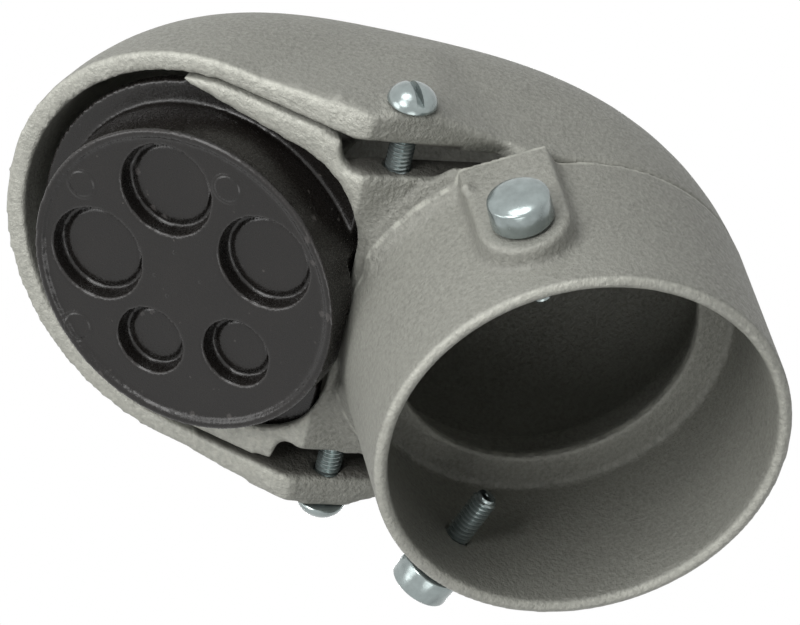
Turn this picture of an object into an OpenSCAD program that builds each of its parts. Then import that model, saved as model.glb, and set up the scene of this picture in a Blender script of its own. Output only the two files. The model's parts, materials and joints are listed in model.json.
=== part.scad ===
// Service entrance weatherhead, set-screw type, for the top of a rigid conduit.
// A cast hub body slips over the conduit, a cast hood closes over it, and a moulded
// insulator with knockouts fills the mouth, which faces forward and down.
// +Z is the conduit's axis, -Y is the way the mouth faces, and X = 0 is the mirror plane.

/* [Conduit socket] */
// Outside diameter of the conduit that the hub slips over
conduit_od = 60.3; // [48:0.1:76]
// Radial slip between the conduit and the hub
socket_slip = 1.05; // [0.4:0.05:2]
// Wall of the hub
hub_wall = 2.4; // [2:0.1:4]
// Depth of the socket, from the hub's mouth to the stop ring
socket_depth = 29.5; // [24:0.5:45]
// Width of the stop ring's ledge
stop_ledge = 6.2; // [3:0.1:9]
// Thickness of the stop ring
stop_thick = 2.5; // [2:0.1:4]
// Rounding of the hub's mouth
mouth_round = 0.8; // [0.3:0.1:1]
// Bevel inside the hub's mouth
mouth_bevel = 0.8; // [0.5:0.1:1.2]

/* [Hood] */
// Wall of the hood
hood_wall = 3.4; // [2.6:0.1:4]
// How far the hood's sides stand out beyond the hub at the throat
hood_flare = 3.1; // [2:0.1:6]
// Height of the hood's seam above the stop ring's underside
seam_rise = 1.5; // [1:0.1:3]
// Angle between the mouth and the hub's end face
mouth_tilt = 37.5; // [30:0.5:45]
// Distance along the mouth from the throat to the centre of its round end
mouth_reach = 25.2; // [20:0.1:34]
// How far the crown is pressed down between the back and the front
crown_sag = 5.4; // [2:0.1:8]
// How far the crown swells behind the mouth and above the back
crown_shoulder = 1.85; // [0:0.05:3]
// Gap between the hood and the body inside it
shell_gap = 0.4; // [0.3:0.05:1]

/* [Hood ears] */
// Distance of the ear screw behind the throat
ear_back = 4.8; // [4:0.1:8]
// Height of the ear screw above the seam
ear_up = 5.2; // [4.6:0.1:8]
// How far the ear's face stands out beyond the hood's side
ear_pad = 2.6; // [1.5:0.1:4]
// Radius of the flat seat under the ear screw's head
ear_r = 4.6; // [4:0.1:6]
// Length of the ear's edge on each side of its screw
ear_run = 9; // [6:0.5:11]
// Height of the ear's lower edge above the seam
ear_lift = 2; // [0.5:0.1:2.4]
// Height of the hood's side edge above the seam where it passes the ear
side_lift = 2.8; // [1:0.1:3.5]
// How far behind the ear screw that raised edge ends
side_run = 18; // [12:0.5:20]
// How far along the lip the ear swells it, from the throat
lip_swell = 31; // [22:0.5:34]
// Height over which the ear fades into the hood's side
ear_fade = 27; // [18:0.5:32]

/* [Body behind the mouth] */
// Height of the body's rim inside the hood above the seam
rim_rise = 7; // [4:0.5:12]
// Thickness of that rim
rim_wall = 3; // [2.4:0.1:4]
// Depth of the cheeks behind the mouth
cheek_depth = 14; // [9:0.5:20]
// Thickness of a cheek at the throat
cheek_thick = 5.8; // [4.5:0.1:7]
// Thickness of a cheek at its front end
cheek_tip = 1.3; // [1:0.1:3]
// How far the cheeks run forward past the mouth's centre
cheek_end = 10.5; // [6:0.5:14]
// Distance from the mouth's centre to its chin
chin_reach = 24; // [18:0.1:24.5]
// Corner radius of the mouth at its chin
chin_r = 13.4; // [8:0.1:16]
// Depth of the ear pocket inside the hood
pocket_deep = 5.3; // [3.5:0.1:5.5]
// Height of the neck's underside above the seam, forward of the pads
neck_lift = 1.3; // [1.1:0.1:2.5]
// Length of the ear pocket in front of the throat
pocket_front = 4.4; // [3:0.1:8]

/* [Rear hook] */
// Width of the hood's hook
hook_w = 12; // [8:0.5:16]
// Thickness of the hood's hook
hook_t = 2.5; // [2:0.1:3.5]
// Height of the hook above the seam
hook_up = 2; // [1.5:0.1:3]
// Clearance round the hook
hook_clear = 0.3; // [0.2:0.05:0.6]

/* [Set-screw pads] */
// Angle of a set screw forward of the body's side
set_angle = 22.8; // [15:0.1:35]
// Height of a set screw above the hub's mouth
set_height = 13.9; // [11:0.1:18]
// How far the pad's face stands out beyond the hub
pad_out = 3; // [2:0.1:5]
// Half width of the pad's face
pad_half = 7.2; // [6.5:0.1:10]
// How much wider the pad is at its foot
pad_draft = 0.9; // [0.5:0.1:3]

/* [Screws] */
// Radius of a screw's shank
shank_r = 2.1; // [1.8:0.05:2.6]
// Clearance round a shank in a tapped hole
tap_clear = 0.08; // [0.05:0.01:0.2]
// Clearance round a shank in the ear's plain hole
ear_clear = 0.25; // [0.15:0.05:0.5]
// Gap under a screw's head
seat_gap = 0.3; // [0.1:0.05:0.5]
// Gap under the left set screw's head, which is not driven home
left_gap = 1.8; // [0.3:0.1:4]
// Radius of a set screw's head
set_head_r = 5.1; // [4:0.05:5.5]
// Height of a set screw's head at its side
set_head_side = 4; // [2:0.1:5]
// Height of the crown on a set screw's head
set_head_crown = 1.4; // [0.6:0.1:2]
// Length of a set screw under its head
set_length = 15.9; // [14:0.1:18]
// Radius of a hood screw's round head
ear_head_r = 4.1; // [3.4:0.05:4.6]
// Height of a hood screw's round head
ear_head_h = 3.05; // [2.4:0.05:3.6]
// Length of a hood screw under its head
ear_length = 15.9; // [14:0.1:19]
// Width of the slot in a head
slot_w = 1.1; // [0.8:0.05:1.4]
// Depth of the slot in a head
slot_deep = 1.5; // [1:0.1:1.8]

/* [Insulator] */
// Radius of the insulator's round face
face_r = 26.8; // [22:0.1:27.5]
// How far the face stands proud of the mouth
face_proud = 7.7; // [4:0.1:9]
// Wall of the moulding
mould_wall = 2.2; // [1.6:0.1:3]
// Height of the face's rim
rim_height = 0.6; // [0.3:0.1:1]
// Width of the face's rim
face_rim = 1.4; // [0.8:0.1:2]
// Clearance between the insulator and the mouth
mould_clear = 0.3; // [0.2:0.05:0.6]
// Depth of the flange's groove in the cheeks
groove_deep = 1.5; // [1:0.1:1.8]
// How far the groove lies behind the mouth
groove_back = 2.2; // [1.5:0.1:3]
// Gap between the insulator's front and the hood
front_gap = 2.6; // [1.5:0.1:5]
// Radius of a large knockout's cup
large_r = 8.2; // [6.5:0.1:8.4]
// Radius of a small knockout's cup
small_r = 6; // [4.5:0.1:6.5]
// Distance of the large knockouts from the centre
large_ring = 15.8; // [15:0.1:16.5]
// Distance of the small knockouts from the centre
small_ring = 14.5; // [14:0.1:16.5]
// Depth of a knockout's cup
cup_deep = 2.8; // [1.5:0.1:4]
// How much narrower a cup is at its floor
cup_draft = 0.5; // [0.2:0.1:1]
// Width of the thin ring round a knockout's plug
plug_ring = 1.5; // [1:0.1:2]
// Thickness of the face behind the cups
face_thick = 1.8; // [1.2:0.1:3]
// Length of the moulding behind its flange
mould_tail = 1.4; // [0.8:0.1:3]
// Turn of the middle large knockout
large_turn = 23; // [0:1:40]
// Angle between large knockouts
large_pitch = 76; // [74:0.5:78]
// Turn of the pair of small knockouts
small_turn = 198; // [192:0.5:206]
// Angle between the small knockouts
small_pitch = 65; // [58:0.5:68]

/* [Hidden] */

$fn = 96;
// Small overshoot that keeps cuts from ending on a face
over = 0.5;

bore_r = conduit_od / 2 + socket_slip;
hub_r = bore_r + hub_wall;
stop_r = bore_r - stop_ledge;
seam_z = socket_depth + seam_rise;
stop_top = socket_depth + stop_thick;
// Half width of the hood, which is also the radius of the mouth's round end
mouth_r = hub_r + hood_flare;
// Half width of the body inside the hood
body_r = mouth_r - hood_wall - shell_gap;
throat_y = -hub_r;
pocket_x = body_r - pocket_deep;
neck_z = seam_z + neck_lift;
// Where the hub's outside passes the pocket's floor
neck_y = -sqrt(pow(hub_r, 2) - pow(pocket_x, 2));
rim_r = stop_r + 2;

ear_y = throat_y + ear_back;
ear_z = seam_z + ear_up;
ear_face = mouth_r + ear_pad;
pad_face = hub_r + pad_out;

groove_t = mould_wall + 0.2;
skirt_r = mouth_r - hood_wall - front_gap;
face_back = face_proud - rim_height - cup_deep - face_thick;

function mix(a, b, t) = a + (b - a) * t;

// The hood is a fan of U-shaped sections that turn about the throat. Station 0 lies on
// the seam behind the throat and station 1 on the mouth.
fan_turn = 180 - mouth_tilt;
fan_steps = 20;
arc_steps = 24;
function crown(t) = mix(2 * hub_r, mouth_reach + mouth_r, t)
    - crown_sag * sin(180 * t) + crown_shoulder * sin(540 * t);
function half_width(t) = mix(hub_r, mouth_r, t);

// One section as [x, distance from the throat], moved inwards by inset
function section(t, inset, base) = [
    [mouth_r - inset, base],
    for (i = [0:arc_steps])
        let (a = 180 * i / arc_steps, w = half_width(t) - inset)
            [w * cos(a), crown(t) - half_width(t) + w * sin(a)],
    [inset - mouth_r, base]
];

// Solid fan between two stations
module fan(inset, base, first, last) {
    ring = arc_steps + 3;
    points = [
        for (k = [0:fan_steps])
            let (t = mix(first, last, k / fan_steps), turn = fan_turn * t)
                for (p = section(t, inset, base))
                    [p[0], throat_y + p[1] * cos(turn), seam_z + p[1] * sin(turn)]
    ];
    sides = [
        for (k = [0:fan_steps - 1], i = [0:ring - 1])
            let (a = k * ring + i, b = k * ring + (i + 1) % ring)
                each [[a, b + ring, b], [a, a + ring, b + ring]]
    ];
    start = [for (i = [0:ring - 1]) i];
    end = [for (i = [0:ring - 1]) fan_steps * ring + ring - 1 - i];
    polyhedron(points = points, faces = concat([start, end], sides), convexity = 6);
}

// Puts children on the mouth: its centre at the origin, local Y forward, local Z outward
module on_mouth()
    translate([0, throat_y - mouth_reach * cos(mouth_tilt), seam_z + mouth_reach * sin(mouth_tilt)])
        rotate([180 - mouth_tilt, 0, 0])
            children();

// Puts children on an ear screw's axis, local Z pointing out of the hood
module on_ear(side)
    translate([0, ear_y, ear_z])
        rotate([0, side * 90, 0])
            children();

// Puts children on a set screw's axis, local Z out of the hub, local X up, local Y forward
module on_pad(side)
    mirror([side > 0 ? 0 : 1, 0, 0])
        translate([0, 0, set_height])
            rotate([0, 0, -set_angle])
                rotate([0, 90, 0])
                    rotate([0, 0, 180])
                        children();

// Outline of the mouth's opening, grown by grow, and open at the front
function mouth_outline(grow) = let (
        side = body_r - cheek_thick,
        cx = side - chin_r,
        cy = chin_r - chin_reach,
        r = chin_r + grow,
        right = [for (a = [-90:7.5:-7.5]) [cx + r * cos(a), cy + r * sin(a)]],
        tip = [sqrt(pow(body_r, 2) - pow(cheek_end, 2)) - cheek_tip + min(grow, 0), cheek_end]
    ) concat(right, [tip]);

function mirrored(points) = [for (i = [len(points) - 1:-1:0]) [-points[i][0], points[i][1]]];

// Opening of the mouth, running past the cheeks' ends
module mouth_opening(grow) {
    half = mouth_outline(grow);
    wide = body_r + hood_wall;
    polygon(concat(half, [[wide, cheek_end], [wide, 2 * mouth_r], [-wide, 2 * mouth_r], [-wide, cheek_end]],
                   mirrored(half)));
}

// Outline of the moulding where it fills the mouth, closed by a round front
module mould_outline(grow) {
    half = mouth_outline(grow - mould_clear);
    front = skirt_r + min(grow, 0);
    lift = acos(cheek_end / front);
    polygon(concat(half, [for (k = [0:24]) let (a = 90 - lift + k * lift / 12) [front * cos(a), front * sin(a)]],
                   mirrored(half)));
}

// ---- hub body ----

// Hub with a rounded mouth; it runs past the neck's underside and is cut at the seam
module hub_tube() {
    low = stop_r - 3;
    top = neck_z + 2 * over;
    rotate_extrude()
        difference() {
            union() {
                translate([low, 0]) square([hub_r - mouth_round - low, top]);
                translate([low, mouth_round]) square([hub_r - low, top - mouth_round]);
                translate([hub_r - mouth_round, mouth_round]) circle(mouth_round, $fn = 24);
            }
            polygon([[0, -over], [bore_r + mouth_bevel + over, -over], [bore_r, mouth_bevel],
                [bore_r, socket_depth], [0, socket_depth]]);
        }
}

module set_pad(side)
    on_pad(side)
        hull() {
            pad_plate(pad_half, pad_face - 0.2, pad_face);
            pad_plate(pad_half + pad_draft, hub_r - 2.2, hub_r - 1.6);
        }

// Flat plate with a round lower end that reaches up past the seam
module pad_plate(half, low, high)
    translate([0, 0, low])
        linear_extrude(high - low)
            union() {
                circle(half, $fn = 32);
                translate([0, -half]) square([seam_z + over - set_height, 2 * half]);
            }

// Keeps what lies behind the mouth
module behind_mouth()
    on_mouth()
        translate([-200, -200, -400]) cube([400, 400, 400]);

module above(height)
    translate([-200, -200, height]) cube([400, 400, 400]);

// All that lies above a height, which steps up to front_height forward of a plane
module stepped(height, front_height, plane) {
    translate([-200, plane, height]) cube([400, 400, 400]);
    above(front_height);
}

// Walls that stand inside the hood: a low rim at the back and deep cheeks in front
module inner_walls()
    intersection() {
        union() {
            fan(hood_wall + shell_gap, 1.5, -0.02, 1.03);
            translate([-body_r, throat_y - 3, seam_z - 1]) cube([2 * body_r, 9, neck_lift + 4]);
        }
        behind_mouth();
        union() stepped(seam_z - 1, neck_z, neck_y - 1.5 * over);
        union() {
            translate([-200, -200, 0]) cube([400, 400, seam_z + rim_rise]);
            on_mouth()
                translate([-200, chin_r / 2 - chin_reach, -cheek_depth])
                    cube([400, chin_reach - chin_r / 2 + cheek_end, 2 * cheek_depth]);
        }
    }

module ear_pockets()
    for (side = [0, 1])
        mirror([side, 0, 0])
            translate([pocket_x, throat_y - pocket_front, 0])
                cube([2 * pocket_deep + hood_wall, pocket_front + ear_back + side_run, ear_z + 2 * shank_r + 2]);

module passage() {
    translate([0, 0, 1]) cylinder(r = stop_r, h = 3 * seam_z);
    translate([0, 0, stop_top]) cylinder(r = rim_r, h = 2 * seam_z);
    on_mouth() {
        translate([0, 0, -3 * cheek_depth]) linear_extrude(3 * cheek_depth + over) mouth_opening(0);
        translate([0, 0, -groove_back - groove_t]) linear_extrude(groove_t) mouth_groove();
    }
}

// The groove is cut in the cheeks only, so it stops short of the hub's front wall
module mouth_groove()
    intersection() {
        mouth_opening(groove_deep);
        translate([-200, -chin_reach + 1]) square([400, 400]);
    }

module hub_body()
    color([0.62, 0.62, 0.59])
        difference() {
            union() {
                difference() {
                    hub_tube();
                    stepped(seam_z, neck_z + over, neck_y - over / 2);
                }
                difference() {
                    for (side = [-1, 1]) set_pad(side);
                    above(seam_z);
                }
                translate([0, 0, seam_z - 1]) cylinder(r = rim_r + 2, h = stop_top - seam_z + 1);
                difference() {
                    inner_walls();
                    ear_pockets();
                }
            }
            passage();
            hook_window();
            for (side = [-1, 1]) {
                on_pad(side) translate([0, 0, stop_r - 5]) cylinder(r = shank_r + tap_clear, h = pad_face, $fn = 48);
                on_ear(side)
                    translate([0, 0, ear_face + seat_gap - ear_length - 1.5])
                        cylinder(r = shank_r + tap_clear, h = ear_length, $fn = 48);
            }
        }

module hook_window()
    translate([-hook_w / 2 - hook_clear, 0, seam_z + hook_up - hook_clear])
        cube([hook_w + 2 * hook_clear, hub_r, hook_t + 2 * hook_clear]);

// ---- hood ----

// Ear: a long shelf that fades into the hood's side, with a flat seat for its screw
module hood_ear(side) {
    root = mouth_r - hood_wall / 2;
    edge = ear_face - 0.6;
    mirror([side > 0 ? 0 : 1, 0, 0])
        intersection() {
            union() {
                hull() {
                    translate([0, 0, seam_z + ear_lift])
                        linear_extrude(ear_up)
                            polygon([[edge, ear_y - ear_run], [edge, ear_y + ear_run / 2],
                                [root - 1, ear_y + 2 * ear_run], [root - 1, ear_y - ear_run]]);
                    on_mouth()
                        translate([root - 1, lip_swell - mouth_reach, -2 * ear_pad])
                            cube([1.5, 1, 2 * ear_pad]);
                    translate([root - 1, ear_y - ear_run, seam_z + ear_fade])
                        cube([1, 2 * ear_run, 2]);
                }
                on_ear(1) translate([0, 0, root]) cylinder(r = ear_r, h = ear_face - root);
            }
            on_mouth()
                translate([-200, -200, -400.4]) cube([400, 400, 400]);
            translate([0, -200, seam_z + ear_lift]) cube([400, 400, 400]);
        }
}

// Space under the hood's side edge, from the mouth back past the ears
module side_relief()
    rotate([90, 0, 90])
        translate([0, 0, -2 * mouth_r])
            linear_extrude(4 * mouth_r)
                polygon([[2 * throat_y, seam_z - 1], [2 * throat_y, seam_z + side_lift],
                    [ear_y + side_run - side_lift, seam_z + side_lift], [ear_y + side_run, seam_z],
                    [ear_y + side_run, seam_z - 1]]);

module hood_hook()
    translate([-hook_w / 2, hub_r - hood_wall - rim_wall - shell_gap, seam_z + hook_up])
        cube([hook_w, rim_wall + shell_gap + hood_wall / 2, hook_t]);

module hood()
    color([0.66, 0.66, 0.63])
        difference() {
            union() {
                difference() {
                    fan(0, 3, 0, 1);
                    fan(hood_wall, 1, -0.023, 1.037);
                    side_relief();
                }
                for (side = [-1, 1]) hood_ear(side);
                hood_hook();
            }
            for (side = [-1, 1])
                on_ear(side)
                    translate([0, 0, body_r - 4])
                        cylinder(r = shank_r + ear_clear, h = 3 * hood_wall + ear_pad, $fn = 48);
        }

// ---- insulator ----

module knockout(radius) {
    // Tapered cup with a thin raised plug in its floor
    difference() {
        translate([0, 0, face_proud - rim_height - cup_deep])
            cylinder(r1 = radius - cup_draft, r2 = radius, h = cup_deep + rim_height + over, $fn = 48);
        translate([0, 0, face_proud - rim_height - cup_deep - over])
            cylinder(r = radius - plug_ring, h = 2 * over, $fn = 48);
    }
}

module knockouts() {
    for (k = [-1:1])
        rotate(large_turn + k * large_pitch)
            translate([large_ring, 0, 0])
                children(0);
    for (k = [-0.5, 0.5])
        rotate(small_turn + k * small_pitch)
            translate([small_ring, 0, 0])
                children(1);
}

// Round box behind the face; up to the height enter it narrows to the mouth's outline
module box(grow, low, enter, high)
    difference() {
        translate([0, 0, low]) cylinder(r = face_r + grow, h = high - low, $fn = 72);
        translate([0, 0, low - over])
            linear_extrude(enter - low + over)
                difference() {
                    square(8 * face_r, center = true);
                    mould_outline(grow);
                }
    }

// Plate that sits in the groove of the cheeks
module flange()
    translate([0, 0, 0.1 - groove_back - groove_t])
        linear_extrude(mould_wall)
            difference() {
                intersection() {
                    mould_outline(groove_deep);
                    translate([-200, -chin_reach + 1 + mould_clear]) square([400, 400]);
                }
                circle(face_r - mould_wall / 2, $fn = 60);
            }

module insulator()
    color([0.13, 0.12, 0.11])
        difference() {
            on_mouth()
                difference() {
                    union() {
                        box(0, -groove_back - groove_t - mould_tail, over, face_proud);
                        flange();
                    }
                    box(-mould_wall, -3 * groove_back - groove_t, face_proud, face_back);
                    translate([0, 0, face_proud - rim_height]) cylinder(r = face_r - face_rim, h = 2, $fn = 72);
                    knockouts() {
                        knockout(large_r);
                        knockout(small_r);
                    }
                }
            cylinder(r = hub_r + mould_clear, h = seam_z - over);
        }

// ---- screws ----

module hood_screw(side)
    color([0.72, 0.75, 0.76])
        on_ear(side)
            translate([0, 0, ear_face + seat_gap])
                difference() {
                    union() {
                        rotate_extrude()
                            polygon(concat([[0, 0], [ear_head_r - 0.15, 0]],
                                [for (a = [6:7:90]) [ear_head_r * cos(a), ear_head_h * sin(a)]]));
                        translate([0, 0, -ear_length]) cylinder(r = shank_r, h = ear_length + over, $fn = 48);
                    }
                    rotate(20)
                        translate([-slot_w / 2, -ear_head_r - 1, ear_head_h - slot_deep])
                            cube([slot_w, 2 * ear_head_r + 2, slot_deep + 1]);
                }

module set_screw(side)
    color([0.72, 0.76, 0.77])
        on_pad(side)
            translate([0, 0, pad_face + (side > 0 ? seat_gap : left_gap)]) {
                rotate_extrude()
                    polygon(concat([[0, 0], [set_head_r - 0.3, 0], [set_head_r, 0.3], [set_head_r, set_head_side]],
                        [for (a = [15:15:90]) [set_head_r * cos(a), set_head_side + set_head_crown * sin(a)]]));
                translate([0, 0, -set_length]) cylinder(r = shank_r, h = set_length + over, $fn = 48);
            }

hub_body();
hood();
insulator();
hood_screw(1);  // hood_screw_right
hood_screw(-1);  // hood_screw_left
set_screw(1);  // set_screw_right
set_screw(-1);  // set_screw_left
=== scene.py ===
"""Dresses the weatherhead: sand-cast hub and hood, moulded insulator, zinc-plated screws and a studio.

Lengths are in metres in the solids' frame: +Z runs up along the conduit, and the wire opening faces -Y.
"""

import json
import math

import bpy
from bpy.props import FloatProperty, FloatVectorProperty, IntProperty, PointerProperty
from mathutils import Matrix, Vector


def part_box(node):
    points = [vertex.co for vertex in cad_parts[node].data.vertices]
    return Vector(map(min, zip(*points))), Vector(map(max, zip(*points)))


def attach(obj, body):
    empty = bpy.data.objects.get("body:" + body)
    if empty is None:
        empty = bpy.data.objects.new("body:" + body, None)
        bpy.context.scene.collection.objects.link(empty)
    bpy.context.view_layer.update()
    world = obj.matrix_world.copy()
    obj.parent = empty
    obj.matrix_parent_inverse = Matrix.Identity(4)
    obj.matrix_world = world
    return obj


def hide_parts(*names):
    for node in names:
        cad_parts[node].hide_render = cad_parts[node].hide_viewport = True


bl_info = {
    "name": "Weatherhead Dresser",
    "version": (1, 0, 0),
    "blender": (4, 5, 0),
    "location": "3D Viewport > Sidebar > Weatherhead",
    "description": "Builds the castings, the insulator, the screws and the studio of a weatherhead",
    "category": "Object",
}

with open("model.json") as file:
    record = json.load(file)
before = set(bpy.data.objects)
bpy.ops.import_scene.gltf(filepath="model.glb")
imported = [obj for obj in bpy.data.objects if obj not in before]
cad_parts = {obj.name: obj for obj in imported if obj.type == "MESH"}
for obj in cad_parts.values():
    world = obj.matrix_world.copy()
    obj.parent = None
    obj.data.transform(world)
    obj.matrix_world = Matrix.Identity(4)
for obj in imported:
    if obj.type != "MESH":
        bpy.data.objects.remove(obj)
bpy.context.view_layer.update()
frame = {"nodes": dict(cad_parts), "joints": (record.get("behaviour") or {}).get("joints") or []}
JOINTS = {joint["name"]: joint for joint in frame["joints"]}

SIDES = (1, -1)

# Places that follow from the solids: the seam of hub and hood, and the tilted plane of the mouth
SEAM_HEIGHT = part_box("hood")[0].z
HUB_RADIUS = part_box("hub_body")[1].y
NECK_HEIGHT = SEAM_HEIGHT + 0.0013
PARTING_LINE_HEIGHT = SEAM_HEIGHT - 0.0006
THROAT = Vector((0.0, -HUB_RADIUS, SEAM_HEIGHT))
MOUTH_TILT = math.radians(37.5)
MOUTH_NORMAL = Vector((0.0, -math.sin(MOUTH_TILT), -math.cos(MOUTH_TILT)))
MOUTH_ALONG = Vector((0.0, -math.cos(MOUTH_TILT), math.sin(MOUTH_TILT)))
MOUTH_CENTRE = THROAT + 0.0252 * MOUTH_ALONG

# Flares of the neck: how far they stand out, how far their foot is sunk in the hub's wall, their height,
# how far their middle lies below the neck, and the core that is cut out of them
FLARE_REACH = 0.0027
FLARE_SINK = 0.0004
FLARE_HEIGHT = 0.0062
FLARE_DROP = 0.0022
CORE_RADIUS = HUB_RADIUS - 0.0009
CORE_HEIGHT = 0.02

# Thin ridge on each flare: its radius, and how far it is sunk in the flare
RIDGE_RADIUS = 0.00085
RIDGE_SINK = 0.0003

# Planes that end flares and ridges: angle round the hub, then the cut's share along the rim and outward
FLARE_ENDS = ((-34, 1.0, 0.0), (-82, -1.0, 0.0), (-73, -0.34, 0.94))
RING_STEPS = 180

# Parts of the castings that are rounded further, and how often each is relaxed: the lip in front of the
# hub, the front corners of the pockets, and the hood's sides above the ears
LIP_BEHIND = 0.0045
LIP_REACH = 0.006
LIP_FOOT = NECK_HEIGHT - 0.0005
LIP_PASSES = 36
POCKET_CORNER = (0.0312, -0.0377, 0.0349)
POCKET_ROUND = 0.0048
POCKET_PASSES = 60
EAR_BEHIND = 0.0035
EAR_FRONT = -0.0225
EAR_HEIGHT_FRONT = 0.0095
EAR_HEIGHT_BACK = 0.0035
EAR_PASSES = 60

# Recesses of the pockets under the ears, where shade is painted, on either side: low and high corners
HOOD_RECESS = ((-0.001, -0.050, 0.030), (0.0339, -0.0195, 0.046))
BODY_RECESS = ((0.0270, -0.0374, 0.0327), (0.0336, -0.0110, 0.050))

# Spots of coarser sand: place on the right side, then reach
BODY_ROUGH = ((0.027, -0.028, NECK_HEIGHT), 0.010)
HOOD_ROUGH = ((0.036, -0.031, 0.036), 0.011)

# Marks on the insulator's face, across the head and up the face
EJECTOR_MARKS = ((0.0089, 0.0205), (0.0198, -0.004), (-0.0174, 0.0164))
MOULD_DOTS = ((0.0041, 0.0026), (-0.0016, 0.0051), (0.0009, -0.0028), (-0.0044, 0.0023))

# Lumps that the sand leaves on the castings: place, then reach along each axis
HOOD_LUMPS = (
    ((0.0379, -0.0396, 0.0381), (0.0011, 0.0016, 0.0011)),
    ((0.0377, -0.0372, 0.0378), (0.0012, 0.0019, 0.0010)),
    ((0.0372, -0.0347, 0.0372), (0.0008, 0.0015, 0.0008)),
    ((0.0366, -0.0322, 0.0357), (0.0007, 0.0010, 0.0006)),
    ((0.0365, -0.0297, 0.0353), (0.0007, 0.0008, 0.0008)),
    ((0.0365, -0.0275, 0.0355), (0.0006, 0.0010, 0.0007)),
    ((0.0362, -0.0251, 0.0350), (0.0007, 0.0008, 0.0006)),
)
BODY_LUMPS = (((0.0311, -0.0207, 0.0252), (0.0014, 0.0008, 0.0009)),)

# The insulator: depth that counts as its face, radius and drop of the bead round the face, and smoothing
FACE_DEPTH = 0.0006
BEAD_RADIUS = 0.0005
BEAD_DROP = 0.0004
MOULDING_PASSES = 3

# Screws: thread form as shares of the pitch, slot of the round heads, and how far it is turned
THREAD_DEPTH = 0.62
THREAD_FLAT = 0.12
THREAD_STEPS = 28
TIP_TAPER = 1.1
TIP_SHARE = 0.92
SHANK_OVERLAP = 0.0006
SLOT_SIZE = (0.0012, 0.012, 0.0034)
SLOT_TURNS = {"right": 97, "left": 20}
SMOOTH_ANGLE = math.radians(38)

# Colours that the settings leave out
# Painted shade for the recesses of the pockets under the ears
PAINTED_POCKET_SHADE = (0.035, 0.031, 0.026)
SPECKS = (0.13, 0.12, 0.11)
# Lighter edges of the plastic: rubbed wear and a painted highlight
WORN_AND_LIT_PLASTIC = (0.13, 0.12, 0.115)
TARNISH = (0.06, 0.07, 0.07)

# The camera's place and its axes
CAMERA_PLACE = (0.5521, -0.2747, -0.7102)
CAMERA_RIGHT = (0.188, 0.964, -0.186)
CAMERA_UP = (0.796, -0.039, 0.603)
CAMERA_BACK = (0.575, -0.262, -0.775)

# Lamps: name, direction from the head, size, and share of the key lamp's power
LAMPS = (
    ("key_lamp", (0.60, -0.70, -0.38), 0.5, 1.0),
    ("side_lamp", (0.92, -0.37, 0.05), 0.5, 0.88),
    ("front_lamp", (0.06, -0.99, -0.15), 0.5, 0.53),
    ("back_lamp", (-0.575, 0.262, 0.775), 0.32, 0.9),
    ("low_lamp", (-0.16, -0.16, -0.98), 0.5, 0.38),
)
LAMP_AIM = Vector((0.0, -0.025, 0.045))
LAMP_DISTANCE = 0.9

# The floor: its size, its drop below the hub's rim, and the glow that makes it white from above
FLOOR_RADIUS = 6.0
FLOOR_DROP = 0.0002
FLOOR_GLOW = 0.72
FLOOR_GLOW_COLOUR = (1.0, 1.0, 0.995, 1.0)


# ---------------------------------------------------------------- settings


class CastingSettings(bpy.types.PropertyGroup):
    """Finish of the two aluminium castings."""

    voxel: FloatProperty(
        name="Hood Grid",
        description="Grid that rounds the hood's edges",
        default=0.00067,
        min=0.00066,
        max=0.002,
        precision=5,
        unit="LENGTH",
    )
    body_voxel: FloatProperty(
        name="Body Grid",
        description="Grid that rounds the hub body's edges",
        default=0.00055,
        min=0.00053,
        max=0.002,
        precision=5,
        unit="LENGTH",
    )
    passes: IntProperty(
        name="Smoothing Passes",
        description="How often the cast surface is relaxed",
        default=5,
        min=0,
        max=40,
    )
    light: FloatVectorProperty(
        name="Light Metal",
        description="Colour of the raised grains of the casting",
        default=(0.325, 0.326, 0.29),
        size=3,
        min=0.0,
        max=1.0,
        subtype="COLOR",
    )
    dark: FloatVectorProperty(
        name="Dark Metal",
        description="Colour of the hollows between the grains",
        default=(0.205, 0.206, 0.182),
        size=3,
        min=0.0,
        max=1.0,
        subtype="COLOR",
    )
    grain: FloatProperty(
        name="Sand Grain",
        description="Size of the sand's grain in the surface",
        default=0.0007,
        min=0.0002,
        max=0.003,
        precision=5,
        unit="LENGTH",
    )


class MouldingSettings(bpy.types.PropertyGroup):
    """Finish of the plastic insulator."""

    voxel: FloatProperty(
        name="Moulding Grid",
        description="Grid that rounds the moulding's edges",
        default=0.000385,
        min=0.00038,
        max=0.001,
        precision=5,
        unit="LENGTH",
    )
    colour: FloatVectorProperty(
        name="Plastic",
        description="Colour of the moulded plastic",
        default=(0.0075, 0.0064, 0.0056),
        size=3,
        min=0.0,
        max=1.0,
        subtype="COLOR",
    )


class ScrewSettings(bpy.types.PropertyGroup):
    """Sizes and finish of the screws."""

    major: FloatProperty(
        name="Thread Radius",
        description="Outside radius of the threads",
        default=0.0021,
        min=0.001,
        max=0.004,
        precision=5,
        unit="LENGTH",
    )
    pitch: FloatProperty(
        name="Pitch",
        description="Advance of the thread in one turn",
        default=0.00079,
        min=0.0004,
        max=0.0015,
        precision=5,
        unit="LENGTH",
    )
    round_height: FloatProperty(
        name="Round Head Height",
        description="Height of a hood screw's round head",
        default=0.00305,
        min=0.002,
        max=0.004,
        precision=5,
        unit="LENGTH",
    )
    wall: FloatProperty(
        name="Set Screw Head Side",
        description="Height of a set screw's head at its side",
        default=0.004,
        min=0.002,
        max=0.006,
        precision=5,
        unit="LENGTH",
    )
    crown: FloatProperty(
        name="Set Screw Crown",
        description="Height of the crown on a set screw's head",
        default=0.0014,
        min=0.0006,
        max=0.002,
        precision=5,
        unit="LENGTH",
    )
    zinc: FloatVectorProperty(
        name="Zinc Plate",
        description="Colour of the bright zinc plating",
        default=(0.34, 0.39, 0.385),
        size=3,
        min=0.0,
        max=1.0,
        subtype="COLOR",
    )


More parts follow.
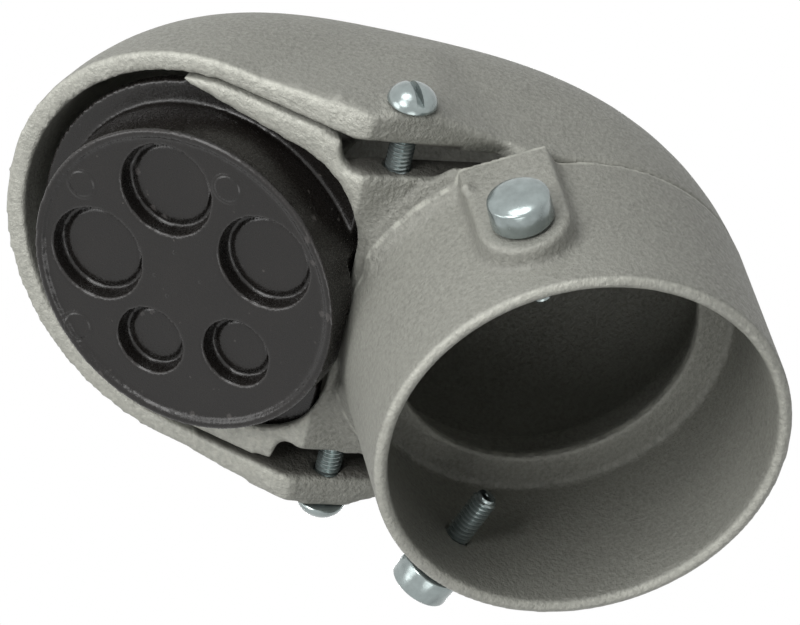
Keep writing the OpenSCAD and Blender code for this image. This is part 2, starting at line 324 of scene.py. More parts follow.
class StudioSettings(bpy.types.PropertyGroup):
    """Camera, lamps and floor."""

    lens: FloatProperty(
        name="Focal Length",
        description="Focal length of the camera's lens in millimetres",
        default=270.0,
        min=50.0,
        max=400.0,
    )
    key_power: FloatProperty(
        name="Key Lamp",
        description="Power of the large soft key lamp",
        default=4.0,
        min=0.0,
        max=200.0,
        unit="POWER",
    )
    fill: FloatProperty(
        name="Fill Level",
        description="Level of the light that comes from all around",
        default=0.09,
        min=0.0,
        max=2.0,
    )
    floor: FloatVectorProperty(
        name="Floor",
        description="Colour of the floor",
        default=(0.3, 0.3, 0.297),
        size=3,
        min=0.0,
        max=1.0,
        subtype="COLOR",
    )


# ---------------------------------------------------------------- mesh tools


def deselect_all():
    """Leaves edit mode and clears the selection."""
    if bpy.context.object and bpy.context.object.mode != "OBJECT":
        bpy.ops.object.mode_set(mode="OBJECT")
    bpy.ops.object.select_all(action="DESELECT")


def pick(piece):
    """Makes a piece the only one chosen."""
    deselect_all()
    piece.select_set(True)
    bpy.context.view_layer.objects.active = piece


def apply_modifier(piece, kind, **values):
    """Adds a modifier with the given values and applies it."""
    pick(piece)
    modifier = piece.modifiers.new(kind.title(), kind)
    for name, value in values.items():
        setattr(modifier, name, value)
    bpy.ops.object.modifier_apply(modifier=modifier.name)


def clean_mesh(piece, distance=1e-6, recalculate=False):
    """Merges doubled points and, where asked, turns all faces outward."""
    pick(piece)
    bpy.ops.object.mode_set(mode="EDIT")
    bpy.ops.mesh.select_all(action="SELECT")
    bpy.ops.mesh.remove_doubles(threshold=distance)
    if recalculate:
        bpy.ops.mesh.normals_make_consistent(inside=False)
    bpy.ops.object.mode_set(mode="OBJECT")


def copy_of_node(name, node):
    """A closed copy of a solid, for a piece that stands in its place."""
    mesh = frame["nodes"][node].data.copy()
    mesh.name = name
    mesh.materials.clear()
    piece = bpy.data.objects.new(name, mesh)
    bpy.context.scene.collection.objects.link(piece)
    clean_mesh(piece, distance=2e-6)
    return piece


def join(piece, others):
    """Adds other objects to a piece's mesh."""
    pick(piece)
    for other in others:
        other.select_set(True)
    bpy.ops.object.join()
    return piece


def settle(piece):
    """Puts a piece's place, turn and size into its mesh."""
    pick(piece)
    bpy.ops.object.transform_apply(location=True, rotation=True, scale=True)


def place(piece, matrix):
    """Moves a piece and settles it there."""
    piece.matrix_world = matrix
    bpy.context.view_layer.update()
    settle(piece)


def along(axis, origin):
    """Placement that turns +Z to axis and moves the origin to a point."""
    turn = Vector((0, 0, 1)).rotation_difference(axis)
    return Matrix.Translation(origin) @ turn.to_matrix().to_4x4()


def cast_surface(piece, voxel, passes):
    """Rounds every edge as sand casting does."""
    apply_modifier(piece, "REMESH", mode="VOXEL", voxel_size=voxel, adaptivity=0.0)
    if passes:
        apply_modifier(piece, "SMOOTH", factor=0.5, iterations=passes)
    pick(piece)
    bpy.ops.object.shade_smooth()


def soften(piece, chosen, passes):
    """Relaxes only the chosen points of a mesh."""
    group = piece.vertex_groups.new(name="soft")
    group.add(chosen, 1.0, "REPLACE")
    apply_modifier(piece, "SMOOTH", factor=0.5, iterations=passes, vertex_group="soft")
    piece.vertex_groups.remove(piece.vertex_groups["soft"])


def mirrored(point, side):
    """A point of the right side, or its twin on the left side."""
    return (side * point[0], point[1], point[2])


def sand_lumps(lumps):
    """Small rounded lumps, the same on both sides."""
    made = []
    for side in SIDES:
        for centre, reach in lumps:
            deselect_all()
            bpy.ops.mesh.primitive_ico_sphere_add(
                subdivisions=3,
                radius=1.0,
                location=mirrored(centre, side),
                scale=reach,
            )
            lump = bpy.context.object
            settle(lump)
            made.append(lump)
    return made


def profile_object(name, points):
    """A chain of edges in the XZ plane, drawn point by point."""
    deselect_all()
    bpy.ops.mesh.primitive_plane_add(size=0.001, location=(0, 0, 0))
    piece = bpy.context.object
    piece.name = name
    bpy.ops.object.mode_set(mode="EDIT")
    bpy.ops.mesh.select_all(action="SELECT")
    bpy.ops.mesh.merge(type="CENTER")
    bpy.ops.mesh.select_mode(type="VERT")
    bpy.ops.mesh.select_all(action="SELECT")
    bpy.ops.transform.translate(value=(points[0][0], 0, points[0][1]))
    last = points[0]
    for point in points[1:]:
        step = (point[0] - last[0], 0, point[1] - last[1])
        bpy.ops.mesh.extrude_vertices_move(TRANSFORM_OT_translate={"value": step})
        last = point
    bpy.ops.object.mode_set(mode="OBJECT")
    return piece


def turned(name, points, steps=64):
    """A body of revolution about Z from a profile that starts and ends on the axis."""
    piece = profile_object(name, points)
    apply_modifier(
        piece,
        "SCREW",
        angle=2 * math.pi,
        steps=steps,
        render_steps=steps,
        use_merge_vertices=True,
        merge_threshold=1e-6,
    )
    clean_mesh(piece, recalculate=True)
    return piece


def cut_end(piece, height, keep_above):
    """Cuts a tube square at a height and closes it."""
    pick(piece)
    bpy.ops.object.mode_set(mode="EDIT")
    bpy.ops.mesh.select_all(action="SELECT")
    bpy.ops.mesh.bisect(
        plane_co=(0, 0, height),
        plane_no=(0, 0, 1),
        use_fill=True,
        clear_inner=keep_above,
        clear_outer=not keep_above,
    )
    bpy.ops.object.mode_set(mode="OBJECT")


def threaded_shank(name, length, screw):
    """A shank below the origin with a cut thread and a chamfered tip."""
    crest = screw.major
    root = screw.major - THREAD_DEPTH * screw.pitch
    flat = THREAD_FLAT * screw.pitch
    profile = [
        (root, 0.0),
        (root, flat),
        (crest, 0.5 * screw.pitch - flat / 2),
        (crest, 0.5 * screw.pitch + flat / 2),
        (root, screw.pitch),
    ]
    turns = int(length / screw.pitch) + 4
    piece = profile_object(name, profile)
    apply_modifier(
        piece,
        "SCREW",
        angle=2 * math.pi,
        screw_offset=screw.pitch,
        iterations=turns,
        steps=THREAD_STEPS,
        render_steps=THREAD_STEPS,
        use_merge_vertices=True,
        merge_threshold=1e-6,
    )
    clean_mesh(piece, distance=2e-6, recalculate=True)
    place(piece, Matrix.Translation((0, 0, -length - 2 * screw.pitch)))
    cut_end(piece, -length, True)
    cut_end(piece, SHANK_OVERLAP, False)
    taper = TIP_TAPER * screw.pitch
    tip = root * TIP_SHARE
    for vertex in piece.data.vertices:
        depth = vertex.co.z + length
        if depth < taper:
            limit = tip + (crest - tip) * depth / taper
            radius = math.hypot(vertex.co.x, vertex.co.y)
            if radius > limit:
                vertex.co.x *= limit / radius
                vertex.co.y *= limit / radius
    return piece


def span(node, axis):
    """How far a solid reaches along an axis through the origin, from its low to its high end."""
    reach = [vertex.co.dot(axis) for vertex in frame["nodes"][node].data.vertices]
    return min(reach), max(reach)


def arc(radius, height, steps, start):
    """Points of an ellipse's quarter, from start degrees above its side to its top."""
    angles = [math.radians(start + (90.0 - start) * step / steps) for step in range(steps + 1)]
    return [(radius * math.cos(angle), height * math.sin(angle)) for angle in angles]


def dress(piece, body, node, material):
    """Gives a piece its material and its body, and hides the solid that it stands in for."""
    piece.data.materials.clear()
    piece.data.materials.append(material)
    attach(piece, body)
    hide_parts(node)


# ---------------------------------------------------------------- materials


def shade(colour, share):
    """A colour made darker or lighter by a share."""
    return [share * part for part in colour]


class Nodes:
    """Short way to write a node tree."""

    def __init__(self, name):
        self.material = bpy.data.materials.new(name)
        self.material.use_nodes = True
        self.tree = self.material.node_tree
        self.shader = self.tree.nodes["Principled BSDF"]
        self.coordinates = self.add("ShaderNodeTexCoord").outputs["Object"]

    def add(self, kind, **values):
        """Adds a node and sets its options."""
        node = self.tree.nodes.new(kind)
        for name, value in values.items():
            setattr(node, name, value)
        return node

    def feed(self, socket, value):
        """Links a socket to another one, or gives it a value."""
        if isinstance(value, bpy.types.NodeSocket):
            self.tree.links.new(value, socket)
        else:
            socket.default_value = value

    def noise(self, size, detail=3.0, roughness=0.5, distortion=0.0):
        """Noise whose features are about size metres across."""
        node = self.add("ShaderNodeTexNoise")
        self.feed(node.inputs["Vector"], self.coordinates)
        node.inputs["Scale"].default_value = 1.0 / size
        node.inputs["Detail"].default_value = detail
        node.inputs["Roughness"].default_value = roughness
        node.inputs["Distortion"].default_value = distortion
        return node.outputs["Fac"]

    def math(self, operation, a, b=0.0):
        """One arithmetic step on two values."""
        node = self.add("ShaderNodeMath", operation=operation)
        self.feed(node.inputs[0], a)
        self.feed(node.inputs[1], b)
        return node.outputs[0]

    def ramp(self, value, low, high, out_low=0.0, out_high=1.0):
        """Maps the range low to high onto out_low to out_high, and holds it there beyond."""
        node = self.add("ShaderNodeMapRange", clamp=True)
        self.feed(node.inputs["Value"], value)
        for name, number in (
            ("From Min", low),
            ("From Max", high),
            ("To Min", out_low),
            ("To Max", out_high),
        ):
            self.feed(node.inputs[name], number)
        return node.outputs["Result"]

    def mix(self, factor, a, b):
        """Goes from colour a to colour b; the mix node's sockets 6, 7 and 2 are its colours."""
        node = self.add("ShaderNodeMix", data_type="RGBA")
        self.feed(node.inputs["Factor"], factor)
        for socket, value in ((node.inputs[6], a), (node.inputs[7], b)):
            linked = isinstance(value, bpy.types.NodeSocket)
            self.feed(socket, value if linked else (*value, 1.0))
        return node.outputs[2]

    def pointiness(self):
        """Above a half on ridges and below it in hollows."""
        return self.add("ShaderNodeNewGeometry").outputs["Pointiness"]

    def distance_to_plane(self, point, normal):
        """Signed distance from a plane, in metres."""
        shift = self.add("ShaderNodeVectorMath", operation="SUBTRACT")
        self.feed(shift.inputs[0], self.coordinates)
        shift.inputs[1].default_value = point
        dot = self.add("ShaderNodeVectorMath", operation="DOT_PRODUCT")
        self.feed(dot.inputs[0], shift.outputs[0])
        dot.inputs[1].default_value = normal
        return dot.outputs["Value"]

    def within(self, low, high, soft=0.0007):
        """1 inside a box that is the same on both sides, and 0 outside it."""
        parts = self.add("ShaderNodeSeparateXYZ")
        self.feed(parts.inputs[0], self.coordinates)
        across, along_y, up = parts.outputs
        inside = 1.0
        for value, start, end in zip((self.math("ABSOLUTE", across), along_y, up), low, high):
            inside = self.math("MULTIPLY", inside, self.ramp(value, start, start + soft))
            inside = self.math("MULTIPLY", inside, self.ramp(value, end - soft, end, 1.0, 0.0))
        return inside

    def distance_to_point(self, point):
        """Distance from a point, in metres."""
        node = self.add("ShaderNodeVectorMath", operation="DISTANCE")
        self.feed(node.inputs[0], self.coordinates)
        node.inputs[1].default_value = point
        return node.outputs["Value"]

    def bump(self, height, strength, distance, below=None):
        """Bumps from a height, on top of the bumps below."""
        node = self.add("ShaderNodeBump")
        self.feed(node.inputs["Height"], height)
        node.inputs["Strength"].default_value = strength
        node.inputs["Distance"].default_value = distance
        if below:
            self.feed(node.inputs["Normal"], below)
        return node.outputs["Normal"]


def parting_flash_and_highlight(n):
    """Share of the bright line at the height where the moulds of the hub body part: partly ground flash,
    partly a painted highlight.
    """
    off = n.math("ABSOLUTE", n.distance_to_plane((0, 0, PARTING_LINE_HEIGHT), (0, 0, 1)))
    line = n.ramp(off, 0.0002, 0.0005, 1.0, 0.0)
    gaps = n.ramp(n.noise(0.0019, detail=1.0), 0.42, 0.58, 0.25, 0.9)
    return n.math("MULTIPLY", line, gaps)


def ground_faces(n, planes):
    """Share of ground metal on faces that lie in a plane, which the material also lightens as a painted
    highlight; limit is a second plane that they stay past.
    """
    ground = 0.0
    for point, normal, limit in planes:
        off = n.math("ABSOLUTE", n.distance_to_plane(point, normal))
        near = n.ramp(off, 0.0004, 0.0009, 1.0, 0.0)
        if limit:
            near = n.math("MULTIPLY", near, n.ramp(n.distance_to_plane(*limit), 0.0, 0.0006))
        ground = n.math("MAXIMUM", ground, near)
    return ground


def cast_aluminium(name, settings, planes, rough_spot, recess, flash_and_highlight):
    """Sand-cast aluminium with ground faces that also carry a painted highlight, a rough spot, and
    painted shade in a recess on either side.
    """
    n = Nodes(name)
    light = settings.light
    dark = settings.dark
    grain = n.noise(settings.grain, detail=3.0, roughness=0.65)
    blotch = n.noise(0.011, detail=4.0, roughness=0.6)
    colour = n.mix(n.ramp(grain, 0.3, 0.7), dark, light)
    colour = n.mix(n.ramp(blotch, 0.35, 0.7, 0.0, 0.45), colour, shade(light, 0.92))
    # Hollows are darkened, partly as dirt and partly as painted shade in the creases, and ridges are
    # lightened, partly as rubbed wear and partly as painted highlight
    edge = n.pointiness()
    colour = n.mix(n.ramp(edge, 0.5, 0.44, 0.0, 0.55), colour, shade(dark, 0.45))
    colour = n.mix(n.ramp(edge, 0.52, 0.60, 0.0, 0.8), colour, shade(light, 1.35))
    if flash_and_highlight:
        # The parting line is lightened: bright ground flash, and in part a painted highlight on its ridge
        colour = n.mix(parting_flash_and_highlight(n), colour, shade(light, 1.45))
    ground = ground_faces(n, planes)
    # Ground faces are lightened: bare ground metal, and in part a painted highlight on the rims
    scuff = n.noise(0.0011, detail=5.0, roughness=0.7, distortion=0.4)
    ground_shine_and_highlight = n.mix(n.ramp(scuff, 0.35, 0.65), shade(light, 1.2), shade(light, 1.75))
    colour = n.mix(n.math("MULTIPLY", ground, 0.85), colour, ground_shine_and_highlight)
    # Painted shade darkens the recesses of the pockets under the ears
    colour = n.mix(n.math("MULTIPLY", n.within(*recess), 0.8), colour, PAINTED_POCKET_SHADE)
    n.feed(n.shader.inputs["Base Color"], colour)
    n.shader.inputs["Metallic"].default_value = 0.15
    rough = n.ramp(grain, 0.3, 0.7, 0.66, 0.5)
    rough = n.math("SUBTRACT", rough, n.math("MULTIPLY", ground, 0.12))
    n.feed(n.shader.inputs["Roughness"], rough)
    # Long waves, then the pits of the rough spots, then the sand's grain
    pits = 0.0
    centre, reach = rough_spot
    for side in SIDES:
        off = n.distance_to_point(mirrored(centre, side))
        pits = n.math("ADD", pits, n.ramp(off, 0.5 * reach, reach, 1.0, 0.0))
    pits = n.math("MULTIPLY", pits, n.noise(0.0012, detail=3.0, roughness=0.6))
    relief = n.bump(n.noise(0.0045, detail=2.0), 0.22, 0.0006)
    relief = n.bump(pits, 0.6, 0.0009, below=relief)
    relief = n.bump(grain, 0.7, 0.00042, below=relief)
    n.feed(n.shader.inputs["Normal"], relief)
    return n.material


def moulded_plastic(name, settings, rings, dots):
    """Near-black moulded plastic with a fine grain, ejector marks and small raised dots."""
    n = Nodes(name)
    marks = 0.0
    for point in rings:
        away = n.distance_to_point(point)
        # A raised disc whose edge steps down to a lower rim
        step = n.ramp(away, 0.0021, 0.0024, 1.0, 0.35)
        marks = n.math("ADD", marks, n.ramp(away, 0.0026, 0.0029, step, 0.0))
    for point in dots:
        marks = n.math("ADD", marks, n.ramp(n.distance_to_point(point), 0.0003, 0.0007, 1.4, 0.0))
    grain = n.noise(0.00045, detail=2.0, roughness=0.6)
    dust = n.noise(0.009, detail=5.0, roughness=0.65)
    speck = n.noise(0.0012, detail=1.0)
    plain = settings.colour
    colour = n.mix(n.ramp(dust, 0.45, 0.75, 0.0, 0.5), plain, shade(plain, 1.9))
    colour = n.mix(n.ramp(speck, 0.76, 0.82, 0.0, 0.5), colour, SPECKS)
    # Ridges of the plastic are lightened: partly rubbed wear, partly a painted highlight on its edges
    colour = n.mix(n.ramp(n.pointiness(), 0.52, 0.57, 0.0, 0.35), colour, WORN_AND_LIT_PLASTIC)
    n.feed(n.shader.inputs["Base Color"], colour)
    n.feed(n.shader.inputs["Roughness"], n.ramp(grain, 0.3, 0.7, 0.2, 0.34))
    n.shader.inputs["Specular IOR Level"].default_value = 0.42
    fine = n.bump(grain, 0.3, 0.00012)
    n.feed(n.shader.inputs["Normal"], n.bump(marks, 1.0, 0.00022, below=fine))
    return n.material


def zinc_plate(name, settings):
    """Bright zinc plating with a faint blue cast and small handling marks."""
    n = Nodes(name)
    cloud = n.noise(0.0021, detail=3.0, roughness=0.6)
    fine = n.noise(0.00035, detail=2.0)
    colour = n.mix(n.ramp(cloud, 0.35, 0.7), settings.zinc, shade(settings.zinc, 0.72))
    colour = n.mix(n.ramp(n.pointiness(), 0.49, 0.42, 0.0, 0.75), colour, TARNISH)
    n.feed(n.shader.inputs["Base Color"], colour)
    n.shader.inputs["Metallic"].default_value = 0.68
    n.feed(n.shader.inputs["Roughness"], n.ramp(cloud, 0.3, 0.75, 0.14, 0.30))
    n.feed(n.shader.inputs["Normal"], n.bump(fine, 0.12, 0.00008))
    return n.material


# ---------------------------------------------------------------- pieces


class WEATHERHEAD_OT_body(bpy.types.Operator):
    """Build the cast hub body with its neck and pads"""

    bl_idname = "weatherhead.body"
    bl_label = "Hub Body"

    def execute(self, context):
        settings = context.scene.weatherhead_casting
        piece = copy_of_node("hub_body_casting", "hub_body")
        join(piece, self.neck_ridges() + sand_lumps(BODY_LUMPS))
        cast_surface(piece, settings.body_voxel, settings.passes)
        soften(piece, self.lip(piece), LIP_PASSES)
        soften(piece, self.pocket_corners(piece), POCKET_PASSES)
        before_hub = ((0, -HUB_RADIUS - 0.001, 0), (0, -1, 0))
        hub_rim = ((0, 0, 0), (0, 0, 1), None)
        lip_rim = (tuple(MOUTH_CENTRE), tuple(MOUTH_NORMAL), before_hub)
        metal = cast_aluminium(
            "cast_body",
            settings,
            planes=(hub_rim, lip_rim),
            rough_spot=BODY_ROUGH,
            recess=BODY_RECESS,
            flash_and_highlight=True,
        )
        dress(piece, "head", "hub_body", metal)
        return {"FINISHED"}

    def lip(self, piece):
        """Points of the wall that stands in front of the hub, near the mouth's plane."""
        chosen = []
        for vertex in piece.data.vertices:
            behind = -(vertex.co - MOUTH_CENTRE).dot(MOUTH_NORMAL)
            forward = vertex.co.y < -HUB_RADIUS + LIP_REACH
            if behind < LIP_BEHIND and forward and vertex.co.z > LIP_FOOT:
                chosen.append(vertex.index)
        return chosen

    def pocket_corners(self, piece):
        """Points round the front corner of each pocket under the ears."""
        corners = [Vector(mirrored(POCKET_CORNER, side)) for side in SIDES]
        return [
            vertex.index
            for vertex in piece.data.vertices
            if min((vertex.co - corner).length for corner in corners) < POCKET_ROUND
        ]

    def neck_ridges(self):
        """Flares where the hub meets the neck, each with the thin ridge of the mould's parting."""
        ridges = []
        for side in SIDES:
            for ring in (self.flare_ring, self.parting_ring):
                ridge = ring()
                self.trim(ridge, side)
                ridges.append(ridge)
        return ridges

    def flare_ring(self):
        """A cone round the neck with the hub's passage left out."""
        deselect_all()
        bpy.ops.mesh.primitive_cone_add(
            vertices=RING_STEPS,
            radius1=HUB_RADIUS - FLARE_SINK,
            radius2=HUB_RADIUS + FLARE_REACH,
            depth=FLARE_HEIGHT,
            location=(0, 0, NECK_HEIGHT - FLARE_DROP),
        )
        cone = bpy.context.object
        bpy.ops.mesh.primitive_cylinder_add(
            vertices=RING_STEPS,
            radius=CORE_RADIUS,
            depth=CORE_HEIGHT,
            location=(0, 0, NECK_HEIGHT),
        )
        core = bpy.context.object
        apply_modifier(cone, "BOOLEAN", operation="DIFFERENCE", object=core, solver="EXACT")
        bpy.data.objects.remove(core)
        return cone

    def parting_ring(self):
        """A thin ring on the flare's upper edge."""
        deselect_all()
        bpy.ops.mesh.primitive_torus_add(
            major_radius=HUB_RADIUS + FLARE_REACH - RIDGE_SINK,
            minor_radius=RIDGE_RADIUS,
            major_segments=RING_STEPS,
            minor_segments=16,
            location=(0, 0, NECK_HEIGHT - RIDGE_SINK),
        )
        return bpy.context.object

    def trim(self, ridge, side):
        """Keeps the part of a ring that lies beside the throat, on one side."""
        pick(ridge)
        bpy.ops.object.mode_set(mode="EDIT")
        for angle, forward, outward in FLARE_ENDS:
            bpy.ops.mesh.select_all(action="SELECT")
            turn = math.radians(angle)
            radial = Vector((math.cos(turn) * side, math.sin(turn), 0))
            tangent = Vector((-math.sin(turn) * side, math.cos(turn), 0))
            bpy.ops.mesh.bisect(
                plane_co=HUB_RADIUS * radial,
                plane_no=forward * tangent + outward * radial,
                use_fill=True,
                clear_outer=True,
            )
        bpy.ops.object.mode_set(mode="OBJECT")
        settle(ridge)


class WEATHERHEAD_OT_hood(bpy.types.Operator):
    """Build the cast hood with its ears"""

    bl_idname = "weatherhead.hood"
    bl_label = "Hood"

    def execute(self, context):
        settings = context.scene.weatherhead_casting
        piece = copy_of_node("hood_casting", "hood")
        join(piece, sand_lumps(HOOD_LUMPS))
        cast_surface(piece, settings.voxel, settings.passes)
        self.blend_ears(piece)
        mouth_rim = (tuple(MOUTH_CENTRE), tuple(MOUTH_NORMAL), None)
        metal = cast_aluminium(
            "cast_hood",
            settings,
            planes=(mouth_rim,),
            rough_spot=HOOD_ROUGH,
            recess=HOOD_RECESS,
            flash_and_highlight=False,
        )
        dress(piece, "head", "hood", metal)
        return {"FINISHED"}

    def blend_ears(self, piece):
        """Relaxes the hood's sides above the ears, so that the ears fade into them."""
        sides = []
        for vertex in piece.data.vertices:
            behind = -(vertex.co - MOUTH_CENTRE).dot(MOUTH_NORMAL)
            height = EAR_HEIGHT_FRONT if vertex.co.y < EAR_FRONT else EAR_HEIGHT_BACK
            if behind > EAR_BEHIND and vertex.co.z > SEAM_HEIGHT + height:
                sides.append(vertex.index)
        soften(piece, sides, EAR_PASSES)


class WEATHERHEAD_OT_insulator(bpy.types.Operator):
    """Build the moulded insulator with its knockouts"""

    bl_idname = "weatherhead.insulator"
    bl_label = "Insulator"

    def execute(self, context):
        settings = context.scene.weatherhead_moulding
        piece = copy_of_node("insulator_moulding", "insulator")
        points = [vertex.co for vertex in piece.data.vertices]
        face = max(point.dot(MOUTH_NORMAL) for point in points)
        front = [point for point in points if point.dot(MOUTH_NORMAL) > face - FACE_DEPTH]
        ups = [point.dot(MOUTH_ALONG) for point in front]
        radius = max(point.x for point in front)
        centre = MOUTH_NORMAL * face + MOUTH_ALONG * ((min(ups) + max(ups)) / 2)
        join(piece, [self.rim_bead(radius, centre)])
        cast_surface(piece, settings.voxel, MOULDING_PASSES)
        rings = self.on_face(EJECTOR_MARKS, centre)
        dots = self.on_face(MOULD_DOTS, centre)
        plastic = moulded_plastic("black_moulding", settings, rings, dots)
        dress(piece, "head", "insulator", plastic)
        return {"FINISHED"}

    def rim_bead(self, radius, centre):
        """A ring that rounds the edge of the insulator's face."""
        deselect_all()
        bpy.ops.mesh.primitive_torus_add(
            major_radius=radius - BEAD_RADIUS,
            minor_radius=BEAD_RADIUS,
            major_segments=160,
            minor_segments=12,
        )
        bead = bpy.context.object
        place(bead, along(MOUTH_NORMAL, centre - BEAD_DROP * MOUTH_NORMAL))
        return bead

    def on_face(self, spots, centre):
        """Places on the face from distances across the head and up the face."""
        return [tuple(centre + Vector((across, 0, 0)) + up * MOUTH_ALONG) for across, up in spots]


class WEATHERHEAD_OT_hood_screws(bpy.types.Operator):
    """Build the two slotted round-head screws that hold the hood"""

    bl_idname = "weatherhead.hood_screws"
    bl_label = "Hood Screws"

    def execute(self, context):
        settings = context.scene.weatherhead_screws
        zinc = zinc_plate("zinc_hood_screw", settings)
        for side in ("right", "left"):
            low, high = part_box(f"hood_screw_{side}")
            axis = Vector(JOINTS[f"{side}_hood_screw_out"]["axis"]).normalized()
            tip, top = span(f"hood_screw_{side}", axis)
            seat = top - settings.round_height
            head = self.head((high.y - low.y) / 2, settings.round_height)
            shank = threaded_shank("shank", seat - tip, settings)
            piece = join(head, [shank])
            piece.name = f"round_screw_{side}"
            origin = axis * seat + Vector((0, (low.y + high.y) / 2, (low.z + high.z) / 2))
            turn = Matrix.Rotation(math.radians(SLOT_TURNS[side]), 4, "Z")
            place(piece, along(axis, origin) @ turn)
            pick(piece)
            bpy.ops.object.shade_smooth_by_angle(angle=SMOOTH_ANGLE)
            dress(piece, f"{side}_hood_screw", f"hood_screw_{side}", zinc)
        return {"FINISHED"}

    def head(self, radius, height):
        """A round head with a slot, standing on the origin."""
        rim = arc(radius, height, steps=14, start=5.0)
        head = turned("head", [(0, 0), (radius - 0.0002, 0)] + rim[:-1] + [(0, height)])
        deselect_all()
        bpy.ops.mesh.primitive_cube_add(size=1, location=(0, 0, height), scale=SLOT_SIZE)
        cutter = bpy.context.object
        settle(cutter)
        apply_modifier(head, "BOOLEAN", operation="DIFFERENCE", object=cutter, solver="EXACT")
        bpy.data.objects.remove(cutter)
        apply_modifier(head, "BEVEL", width=0.00012, segments=2, limit_method="ANGLE", angle_limit=0.7)
        return head


class WEATHERHEAD_OT_set_screws(bpy.types.Operator):
    """Build the two set screws of the conduit hub"""

    bl_idname = "weatherhead.set_screws"
    bl_label = "Set Screws"

    def execute(self, context):
        settings = context.scene.weatherhead_screws
        zinc = zinc_plate("zinc_set_screw", settings)
        for side in ("right", "left"):
            low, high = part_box(f"set_screw_{side}")
            axis = Vector(JOINTS[f"{side}_set_screw_out"]["axis"]).normalized()
            tip, top = span(f"set_screw_{side}", axis)
            seat = top - settings.crown - settings.wall
            head = self.head((high.z - low.z) / 2, settings.wall, settings.crown)
            shank = threaded_shank("shank", seat - tip, settings)
            piece = join(head, [shank])
            piece.name = f"set_screw_{side}_zinc"
            origin = axis * seat + Vector((0, 0, (low.z + high.z) / 2))
            place(piece, along(axis, origin))
            pick(piece)
            bpy.ops.object.shade_smooth_by_angle(angle=SMOOTH_ANGLE)
            dress(piece, f"{side}_set_screw", f"set_screw_{side}", zinc)
        return {"FINISHED"}

    def head(self, radius, wall, crown):
        """A plain low head with a straight side and a crowned top, standing on the origin."""
        chamfer = [(radius - 0.0003, 0), (radius, 0.0003)]
        rim = [(across, wall + up) for across, up in arc(radius, crown, steps=10, start=12.0)]
        head = turned("head", [(0, 0)] + chamfer + rim[:-1] + [(0, wall + crown)])
        apply_modifier(head, "BEVEL", width=0.0002, segments=2, limit_method="ANGLE", angle_limit=0.6)
        return head


class WEATHERHEAD_OT_studio(bpy.types.Operator):
    """Set up the camera, the lamps, the world and the floor"""

    bl_idname = "weatherhead.studio"
    bl_label = "Studio"

    def execute(self, context):
        settings = context.scene.weatherhead_studio
        self.camera(context, settings)
        for name, direction, size, share in LAMPS:
            self.lamp(name, Vector(direction), size, share * settings.key_power)
        self.world(context, settings)
        self.floor(settings)
        context.scene.view_settings.view_transform = "Standard"
        return {"FINISHED"}

    def camera(self, context, settings):
        """A long lens, low in front of the head and off its right side."""
        deselect_all()
        bpy.ops.object.camera_add()
        camera = context.object
        camera.name = "camera"
        axes = Matrix((CAMERA_RIGHT, CAMERA_UP, CAMERA_BACK)).transposed()
        turn = axes.to_quaternion().to_matrix().to_4x4()
        camera.matrix_world = Matrix.Translation(CAMERA_PLACE) @ turn
        camera.data.sensor_width = 36.0
        camera.data.lens = settings.lens
        camera.data.clip_start = 0.05
        camera.data.clip_end = 50.0
        context.scene.camera = camera

    def lamp(self, name, direction, size, power):
        """A round soft lamp that shines on the head from a direction."""
        deselect_all()
        bpy.ops.object.light_add(type="AREA")
        lamp = bpy.context.object
        lamp.name = name
        lamp.data.shape = "DISK"
        lamp.data.size = size
        lamp.data.energy = power
        spot = LAMP_AIM + direction.normalized() * LAMP_DISTANCE
        turn = direction.to_track_quat("Z", "Y").to_matrix().to_4x4()
        lamp.matrix_world = Matrix.Translation(spot) @ turn

    def world(self, context, settings):
        """White to the lens and in reflections, and an even fill for everything else."""
        world = bpy.data.worlds.new("studio_world")
        context.scene.world = world
        world.use_nodes = True
        tree = world.node_tree
        background = tree.nodes["Background"]
        background.inputs["Color"].default_value = (1, 1, 1, 1)
        path = tree.nodes.new("ShaderNodeLightPath")
        level = tree.nodes.new("ShaderNodeMix")
        level.data_type = "FLOAT"
        seen = path.outputs["Is Camera Ray"]
        for kind in ("Is Glossy Ray", "Is Transmission Ray"):
            either = tree.nodes.new("ShaderNodeMath")
            either.operation = "MAXIMUM"
            tree.links.new(seen, either.inputs[0])
            tree.links.new(path.outputs[kind], either.inputs[1])
            seen = either.outputs[0]
        # The float mix's sockets 0, 2 and 3 are its factor and its two levels
        tree.links.new(seen, level.inputs[0])
        level.inputs[2].default_value = settings.fill
        level.inputs[3].default_value = 1.0
        tree.links.new(level.outputs[0], background.inputs["Strength"])

    def floor(self, settings):
        """A floor that only a camera above it sees, so that it leaves the light alone."""
        deselect_all()
        bpy.ops.mesh.primitive_circle_add(
            vertices=96,
            radius=FLOOR_RADIUS,
            fill_type="NGON",
            location=(0, 0, -FLOOR_DROP),
        )
        floor = bpy.context.object
        floor.name = "floor"
        settle(floor)
        n = Nodes("pale_floor")
        n.shader.inputs["Base Color"].default_value = (*settings.floor, 1.0)
        n.shader.inputs["Roughness"].default_value = 0.8
        n.shader.inputs["Specular IOR Level"].default_value = 0.1
        n.shader.inputs["Emission Color"].default_value = FLOOR_GLOW_COLOUR
        n.shader.inputs["Emission Strength"].default_value = FLOOR_GLOW
        seen = n.add("ShaderNodeLightPath").outputs["Is Camera Ray"]
        below = n.add("ShaderNodeNewGeometry").outputs["Backfacing"]
        shown = n.math("MULTIPLY", seen, n.math("SUBTRACT", 1.0, below))
        mix = n.add("ShaderNodeMixShader")
        clear = n.add("ShaderNodeBsdfTransparent")
        n.feed(mix.inputs[0], shown)
        n.feed(mix.inputs[1], clear.outputs[0])
        n.feed(mix.inputs[2], n.shader.outputs[0])
        n.feed(n.tree.nodes["Material Output"].inputs["Surface"], mix.outputs[0])
        floor.data.materials.append(n.material)


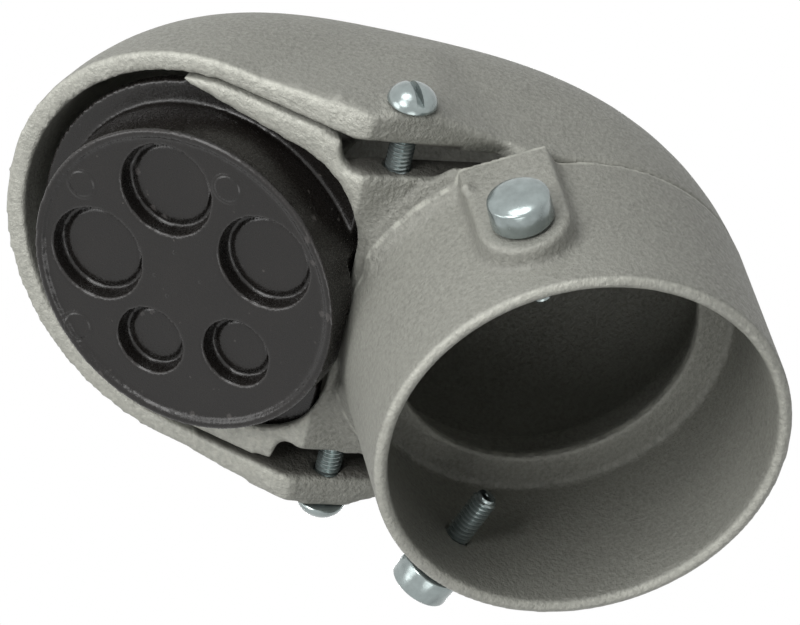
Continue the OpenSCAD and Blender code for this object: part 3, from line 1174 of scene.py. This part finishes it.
class WEATHERHEAD_PT_sidebar(bpy.types.Panel):
    """Lists the steps that build the weatherhead"""

    bl_idname = "WEATHERHEAD_PT_sidebar"
    bl_label = "Weatherhead"
    bl_space_type = "VIEW_3D"
    bl_region_type = "UI"
    bl_category = "Weatherhead"

    def draw(self, context):
        layout = self.layout
        for group, names in (
            ("weatherhead_casting", ("voxel", "body_voxel", "passes", "light", "dark", "grain")),
            ("weatherhead_moulding", ("voxel", "colour")),
            ("weatherhead_screws", ("major", "pitch", "round_height", "wall", "crown", "zinc")),
            ("weatherhead_studio", ("lens", "key_power", "fill", "floor")),
        ):
            box = layout.box()
            for name in names:
                box.prop(getattr(context.scene, group), name)
        for step in STEPS:
            layout.operator(step.bl_idname)


STEPS = (
    WEATHERHEAD_OT_studio,
    WEATHERHEAD_OT_body,
    WEATHERHEAD_OT_hood,
    WEATHERHEAD_OT_insulator,
    WEATHERHEAD_OT_hood_screws,
    WEATHERHEAD_OT_set_screws,
)
GROUPS = {
    "weatherhead_casting": CastingSettings,
    "weatherhead_moulding": MouldingSettings,
    "weatherhead_screws": ScrewSettings,
    "weatherhead_studio": StudioSettings,
}


def register():
    """Adds the settings, the steps and the panel to Blender."""
    for group in GROUPS.values():
        bpy.utils.register_class(group)
    for name, group in GROUPS.items():
        setattr(bpy.types.Scene, name, PointerProperty(type=group))
    for step in STEPS:
        bpy.utils.register_class(step)
    bpy.utils.register_class(WEATHERHEAD_PT_sidebar)


def unregister():
    """Takes the panel, the steps and the settings out again."""
    bpy.utils.unregister_class(WEATHERHEAD_PT_sidebar)
    for step in reversed(STEPS):
        bpy.utils.unregister_class(step)
    for name in GROUPS:
        delattr(bpy.types.Scene, name)
    for group in reversed(list(GROUPS.values())):
        bpy.utils.unregister_class(group)


def main():
    """Builds the whole scene."""
    register()
    bpy.ops.weatherhead.studio()
    bpy.ops.weatherhead.body()
    bpy.ops.weatherhead.hood()
    bpy.ops.weatherhead.insulator()
    bpy.ops.weatherhead.hood_screws()
    bpy.ops.weatherhead.set_screws()


if __name__ == "__main__":
    main()
